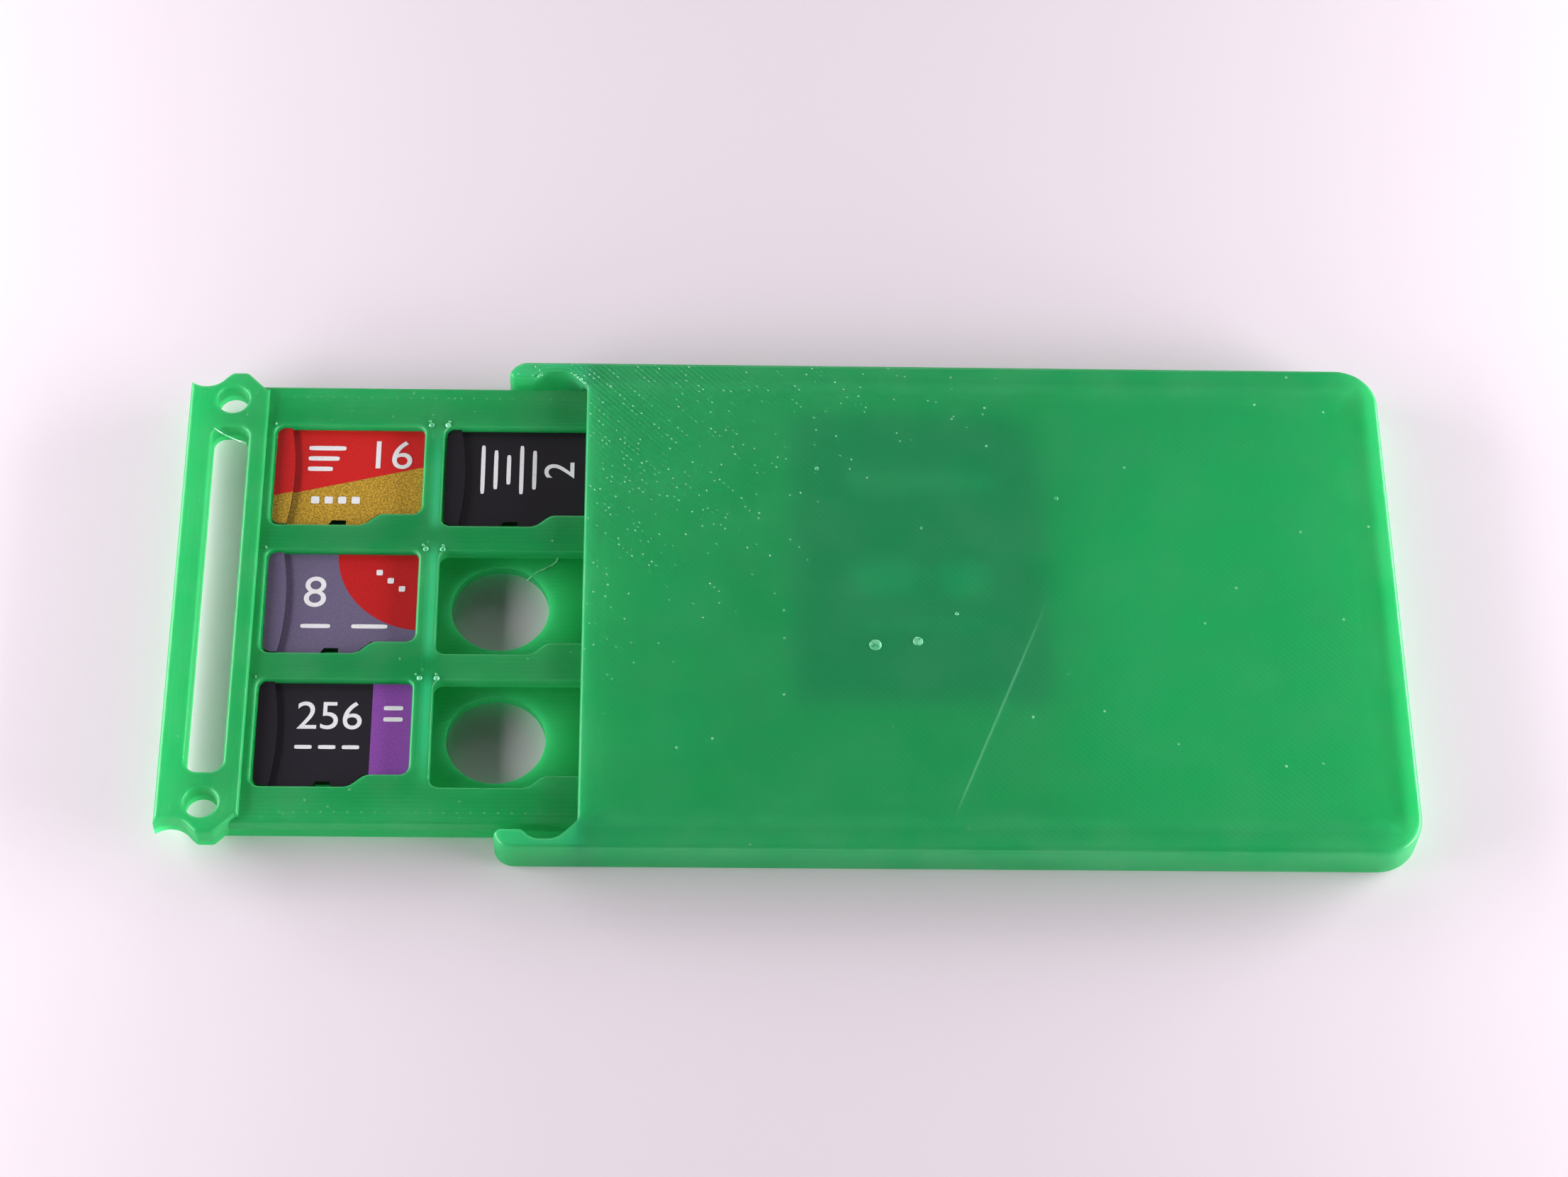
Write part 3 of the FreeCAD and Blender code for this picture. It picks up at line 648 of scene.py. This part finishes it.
grey_ink = light_ink("grey_screen_ink", "#77767C")
adapter_bars = [(6.0 + 2.4 * i, 24.5, 1.6, 2.4) for i in range(6)]
adapter_bars += [(8.6, 13.4, 6.4, 3.6), (16.2, 13.4, 5.0, 3.6), (12.2, 8.4, 13.6, 0.8)]
print_on("adapter_upper_shell", box_mm("adapter_upper_shell")[1][2], ("", 0, 0, 0, 0),
         adapter_bars, "tray", grey_ink)

# %% [markdown]
# ## Strings
# A hot nozzle that travels across a gap pulls a hair of plastic after it. One crosses the slot near its
# rear end, and one curls in the middle pocket. Each is a circle carried along a path. The path runs
# smoothly through a few points, with each stretch a cubic whose slope at a point is half the step between
# that point's neighbours.

# %% Strings
HAIR_STEPS, HAIR_SIDES = 8, 8
HAIR_START, HAIR_END = 0.02, 0.98


def smooth_path(points):
    """Cubic stretches through the points, which start and end with no bend."""
    points = np.array(points, float)
    ends = np.concatenate([2 * points[:1] - points[1:2], points, 2 * points[-1:] - points[-2:-1]])
    t = np.linspace(0, 1, HAIR_STEPS, endpoint=False)[None, :, None]
    before, start, end, after = (ends[i:len(ends) - 3 + i, None] for i in range(4))
    square = (2 * before - 5 * start + 4 * end - after) * t ** 2
    cube = (3 * start - before - 3 * end + after) * t ** 3
    path = start + 0.5 * ((end - before) * t + (square + cube))
    return np.concatenate([path.reshape(-1, 3), points[-1:]])


def hair(name, points, width_mm, finish, body):
    """A tube: a circle square to the path, thinned towards both ends as the square root of a sine."""
    path = smooth_path(points)
    along = np.gradient(path, axis=0)
    along /= np.linalg.norm(along, axis=1, keepdims=True)
    across = np.cross(along, (0.0, 0.0, 1.0))
    across /= np.linalg.norm(across, axis=1, keepdims=True)
    over = np.cross(across, along)
    reach = np.linspace(HAIR_START, HAIR_END, len(path))
    radius = width_mm / 2 * np.sqrt(np.sin(np.pi * reach))
    angle = np.linspace(0, 2 * np.pi, HAIR_SIDES, endpoint=False)
    circle = np.cos(angle)[None, :, None] * across[:, None] + np.sin(angle)[None, :, None] * over[:, None]
    tube = path[:, None] + radius[:, None, None] * circle
    row = np.arange(len(path) - 1)[:, None] * HAIR_SIDES
    step, after = np.arange(HAIR_SIDES), (np.arange(HAIR_SIDES) + 1) % HAIR_SIDES
    sides = np.stack([row + step, row + after, row + HAIR_SIDES + after, row + HAIR_SIDES + step], -1)
    caps = [step[::-1].tolist(), (step + (len(path) - 1) * HAIR_SIDES).tolist()]
    mesh = bpy.data.meshes.new(name)
    mesh.from_pydata((tube.reshape(-1, 3) * MM).tolist(), [], sides.reshape(-1, 4).tolist() + caps)
    mesh.polygons.foreach_set("use_smooth", np.ones(len(mesh.polygons), bool))
    piece = new_piece(name, mesh, finish)
    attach(piece, body)
    print(name, "length", round(float(np.linalg.norm(np.diff(path, axis=0), axis=1).sum()), 1), "mm")


def drawn_plastic(name, body_hex, pale_hex, clump_mm, roughness):
    """Plastic that was pulled out or left to pool: shiny, and pale where it is clear."""
    finish, place = start_finish(name)
    clumps = add(finish, "TexNoise", {"Vector": place, "Scale": 1 / clump_mm, "Detail": 2.0})[0]
    share = add(finish, "MapRange", (clumps, CLUMP_FROM, CLUMP_TO))[0]
    colour = add(finish, "Mix", {0: share, 6: linear(body_hex), 7: linear(pale_hex)}, data_type="RGBA")[2]
    wet = {"Base Color": colour, "Roughness": roughness, "IOR": 1.46}
    add(finish, "OutputMaterial", add(finish, "BsdfPrincipled", wet)[:1])
    return finish


thread = drawn_plastic("drawn_plastic_thread", "#5FCB8C", "#DDF4E6", 0.5, 0.2)
hair("slot_string", [(-75.3, 19.0, 3.86), (-74.3, 18.35, 3.72), (-73.2, 17.75, 3.7), (-71.9, 17.05, 3.86)],
     0.12, thread, "tray")
hair("pocket_string", [(-39.9, 7.5, 3.3), (-40.6, 6.4, 2.75), (-41.3, 6.2, 2.2), (-41.6, 5.0, 1.98),
                       (-42.9, 4.1, 2.0), (-43.6, 3.7, 1.9), (-44.7, 2.7, 1.7)],
     0.11, thread, "tray")

# %% [markdown]
# ## Blobs
# A nozzle that stops for a moment leaves a shiny blob. Two sit side by side on the roof, with three smaller
# ones about them, and a row of tiny ones glints on the rear arm's arch. On the tray the nozzle turns at the
# rear corners of the pockets and leaves more of them there. Each is a squashed half sphere, sunk a little way
# into what carries it so that no edge shows. Spheres would do as well, but most of each would be hidden.

# %% Blobs
BLOB_RINGS, BLOB_SIDES = 6, 20
DOME_TURN = 0.48 * np.pi
ROOF_SINK_MM, ARCH_SINK_MM, RIB_SINK_MM = 0.02, 0.08, 0.06
ROOF_BLOBS = [(-11.25, -5.22, 0.6, 0.12), (-7.22, -4.79, 0.5, 0.09), (-3.44, -1.70, 0.2, 0.07),
              (-16.54, 14.62, 0.2, 0.07), (6.61, 11.46, 0.2, 0.07)]
ARCH_BLOBS = [(-39.15, 24.42, 0.16, 0.13), (-39.36, 24.58, 0.1, 0.1), (-39.55, 24.85, 0.18, 0.14),
              (-39.85, 25.08, 0.12, 0.1), (-40.1, 25.36, 0.15, 0.12), (-40.5, 25.6, 0.1, 0.1),
              (-43.45, 25.3, 0.16, 0.13), (-43.75, 25.1, 0.1, 0.1)]
CORNER_BLOB, SIDE_BLOB, BAR_BLOB = (0.28, 0.19), (0.15, 0.13), (0.2, 0.15)
CORNER_BESIDE_MM, SIDE_BESIDE_MM, BAR_BESIDE_MM = 0.8, 0.95, 0.25
CORNER_BEHIND_MM, SIDE_BEHIND_MM, ROW_SHIFT_MM = 0.3, 0.42, 0.1


def blobs(name, places, foot_mm, finish):
    """Domes from (x, y, radius, height). Over nearly a right angle the rings shrink as its cosine and climb
    as its sine."""
    places = np.array(places, float)
    climb = np.linspace(0, DOME_TURN, BLOB_RINGS)[None, :, None]
    angle = np.linspace(0, 2 * np.pi, BLOB_SIDES, endpoint=False)[None, None, :]
    x, y, radius, height = (column[:, None, None] for column in places.T)
    flat = np.zeros_like(angle)
    points = np.stack([x + radius * np.cos(climb) * np.cos(angle), y + radius * np.cos(climb) * np.sin(angle),
                       foot_mm + height * np.sin(climb) + flat], -1)
    first = np.arange(len(places))[:, None, None] * BLOB_RINGS * BLOB_SIDES
    row = first + np.arange(BLOB_RINGS - 1)[None, :, None] * BLOB_SIDES
    step, after = np.arange(BLOB_SIDES), (np.arange(BLOB_SIDES) + 1) % BLOB_SIDES
    quads = np.stack([row + step, row + after, row + BLOB_SIDES + after, row + BLOB_SIDES + step], -1)
    caps = np.concatenate([first[:, 0] + step[::-1], first[:, 0] + (BLOB_RINGS - 1) * BLOB_SIDES + step])
    mesh = bpy.data.meshes.new(name)
    faces = quads.reshape(-1, 4).tolist() + caps.tolist()
    mesh.from_pydata((points.reshape(-1, 3) * MM).tolist(), [], faces)
    mesh.polygons.foreach_set("use_smooth", np.ones(len(mesh.polygons), bool))
    print(name, len(places), "domes")
    return new_piece(name, mesh, finish)


shiny = drawn_plastic("glossy_plastic_blob", "#34A067", "#86D6AC", 0.4, 0.16)
roof_blobs = blobs("nozzle_blobs", ROOF_BLOBS, sleeve_high[2] - ROOF_SINK_MM, shiny)
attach(roof_blobs, "sleeve")
arch_blobs = blobs("arch_blobs", ARCH_BLOBS, sleeve_high[2] - ARCH_SINK_MM, shiny)
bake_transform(arch_blobs)

# The end bar stands higher than the ribs, so the ribs' top is measured past it
tray_points = np.array([point.co for point in nodes["tray"].data.vertices]) / MM
rib_top = tray_points[tray_points[:, 0] > RIB_MIDDLE_MM, 2].max()
corner_places = []
for row, card in enumerate(("card_a_body", "card_b_body", "card_c_body")):
    behind_row = box_mm(card)[1][1] + CORNER_BEHIND_MM
    shift = ROW_SHIFT_MM * row
    for side in (-1, 1):
        side_x = RIB_MIDDLE_MM + side * SIDE_BESIDE_MM - shift
        corner_places.append((RIB_MIDDLE_MM + side * CORNER_BESIDE_MM, behind_row, *CORNER_BLOB))
        corner_places.append((side_x, behind_row + SIDE_BEHIND_MM, *SIDE_BLOB))
    corner_places.append((card_a_low[0] - BAR_BESIDE_MM - shift, behind_row, *BAR_BLOB))
corner_blobs = blobs("corner_blobs", corner_places, rib_top - RIB_SINK_MM, shiny)
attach(corner_blobs, "tray")

# %% [markdown]
# ## Floor and room
# The case lies on a pale sheet. The lamps light only the part of it that they stand around, so the sheet
# further out is drawn pale as it meets the eye, and so is a strip of the room above the horizon. Rays
# that mirror see the same. Rays that pass through don't: this part has no glass, and in cloudy plastic
# they would light the case from inside.

# %% Floor and room
FLOOR_REACH_MM = 20000.0
LIT_MM, UNLIT_MM = 140.0, 230.0
HORIZON_TOP, HORIZON_FADE = 0.08, 0.25
ROOM_LIGHT, ROOM_SHOWN = 0.05, 0.8
SHEET_HEX, ROOM_HEX = "#E7DBE5", "#F6F0F5"
FIBRES_PER_MM, FIBRE_DEPTH_MM = 2.0, 0.02


def shown_rays(finish, share):
    """A share, kept only for the rays that show a background: those of the eye, and those that mirror."""
    ray = add(finish, "LightPath")
    shown = add(finish, "Math", (ray["Is Camera Ray"], ray["Is Glossy Ray"]), operation="MAXIMUM")[0]
    return add(finish, "Math", (shown, share), operation="MULTIPLY")[0]


corners = np.array([(-1, -1, 0), (1, -1, 0), (1, 1, 0), (-1, 1, 0)]) * FLOOR_REACH_MM * MM
floor_mesh = bpy.data.meshes.new("floor")
floor_mesh.from_pydata(corners.tolist(), [], [(0, 1, 2, 3)])
floor = bpy.data.objects.new("floor", floor_mesh)
scene.collection.objects.link(floor)
paper, paper_place = start_finish("pale_card_sheet")
fibres = add(paper, "TexNoise", {"Vector": paper_place, "Scale": FIBRES_PER_MM, "Detail": 2.0})[0]
sheet_bump = add(paper, "Bump", {"Strength": 0.2, "Distance": FIBRE_DEPTH_MM * MM, "Height": fibres})[0]
sheet = {"Base Color": linear(SHEET_HEX), "Normal": sheet_bump, "Roughness": 0.6}
lit_sheet = add(paper, "BsdfPrincipled", sheet)[0]
far_sheet = add(paper, "Emission", {"Color": linear(ROOM_HEX), "Strength": ROOM_SHOWN})[0]
from_case = add(paper, "VectorMath", (paper_place,), operation="LENGTH")["Value"]
far = add(paper, "MapRange", (from_case, LIT_MM, UNLIT_MM))[0]
add(paper, "OutputMaterial", add(paper, "MixShader", (shown_rays(paper, far), lit_sheet, far_sheet))[:1])
floor_mesh.materials.append(paper)

room = bpy.data.worlds.new("pale_room")
room.use_nodes = True
room.node_tree.nodes.clear()
height = add(room, "SeparateXYZ", (add(room, "TexCoord")["Generated"],))[2]
low = add(room, "MapRange", (height, HORIZON_FADE, HORIZON_TOP))[0]
strength = add(room, "MapRange", (shown_rays(room, low), 0.0, 1.0, ROOM_LIGHT, ROOM_SHOWN))[0]
add(room, "OutputWorld", add(room, "Background", {"Color": linear(ROOM_HEX), "Strength": strength})[:1])
scene.world = room
print("floor", 2 * FLOOR_REACH_MM * MM, "m across, lit within", LIT_MM, "mm")

# %% [markdown]
# ## Lamps
# Soft boxes stand low on all four sides, as in a photo tent, so the pockets are shaded, the edges catch
# the light and the table inside the round holes stays dim. Lamps overhead would be simpler, but they
# would light the pocket floors.


# %% Lamps
def standing_panel(name, place_mm, width_mm, height_mm, watts):
    """A rectangular lamp that stands upright and faces the middle of the case."""
    lamp_data = bpy.data.lights.new(name, "AREA")
    lamp_data.shape = "RECTANGLE"
    lamp_data.size, lamp_data.size_y = width_mm * MM, height_mm * MM
    lamp_data.energy = watts
    lamp = bpy.data.objects.new(name, lamp_data)
    aim = np.array(((tray_low[0] + sleeve_high[0]) / 2, 0.0, place_mm[2] / 2))
    lamp.location = np.array(place_mm) * MM
    lamp.rotation_euler = Vector(aim - np.array(place_mm)).to_track_quat("-Z", "Y").to_euler()
    scene.collection.objects.link(lamp)
    print(name, watts, "W")


standing_panel("left_panel", (-260, 0, 54), 320, 108, 1.62)
standing_panel("right_panel", (235, 0, 42), 320, 84, 2.3)
standing_panel("rear_panel", (-40, 300, 113), 260, 226, 0.28)
standing_panel("front_panel", (-20, -350, 53), 300, 106, 0.25)
